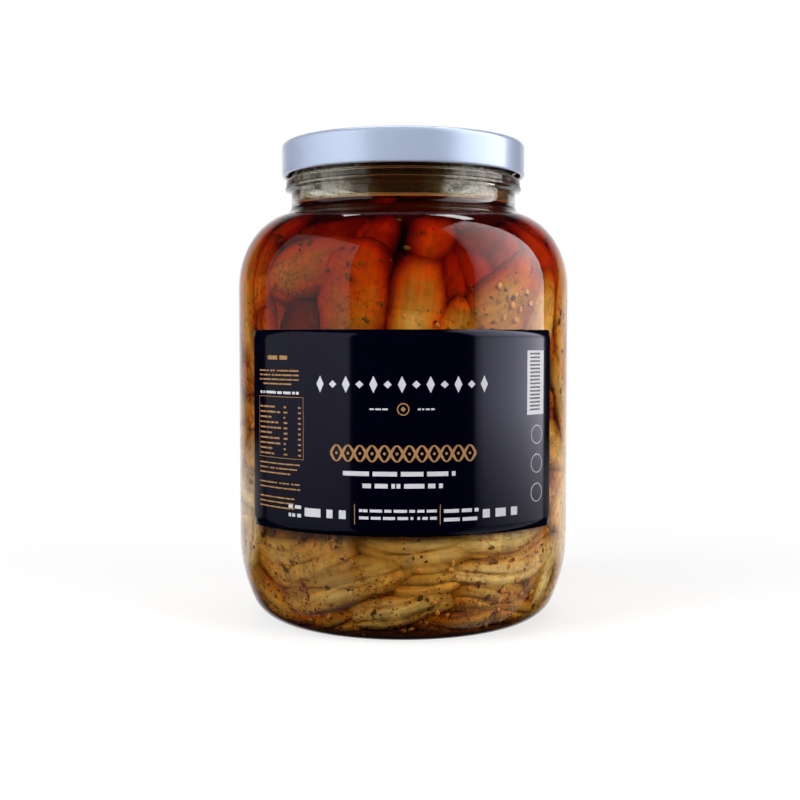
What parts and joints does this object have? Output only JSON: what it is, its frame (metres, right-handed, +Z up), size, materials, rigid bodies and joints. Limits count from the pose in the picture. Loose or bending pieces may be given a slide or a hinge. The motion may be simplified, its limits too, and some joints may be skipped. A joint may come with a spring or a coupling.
{
  "type": "jar of eggplant in oil",
  "caption": "Three litre wide-mouth glass jar of eggplant slices in red oil, with a screw lid and a dark wrap label.",
  "frame": {"origin": "on the jar's axis, at the plane of the ring that it stands on", "axes": "+Z up along the jar's axis; the middle of the label faces -Y"},
  "size_m": [0.154, 0.1541, 0.2204],
  "materials": {
    "glass": "clear, smooth, faintly green at the base",
    "lid_paint": "gloss white lacquer on tinplate",
    "label_paper": "satin, near-black navy",
    "oil": "clear red-orange oil, wet"
  },
  "bodies": {
    "root": {"jar": "glass", "lid": "lid_paint", "label": "label_paper", "oil": "oil"}
  },
  "joints": []
}
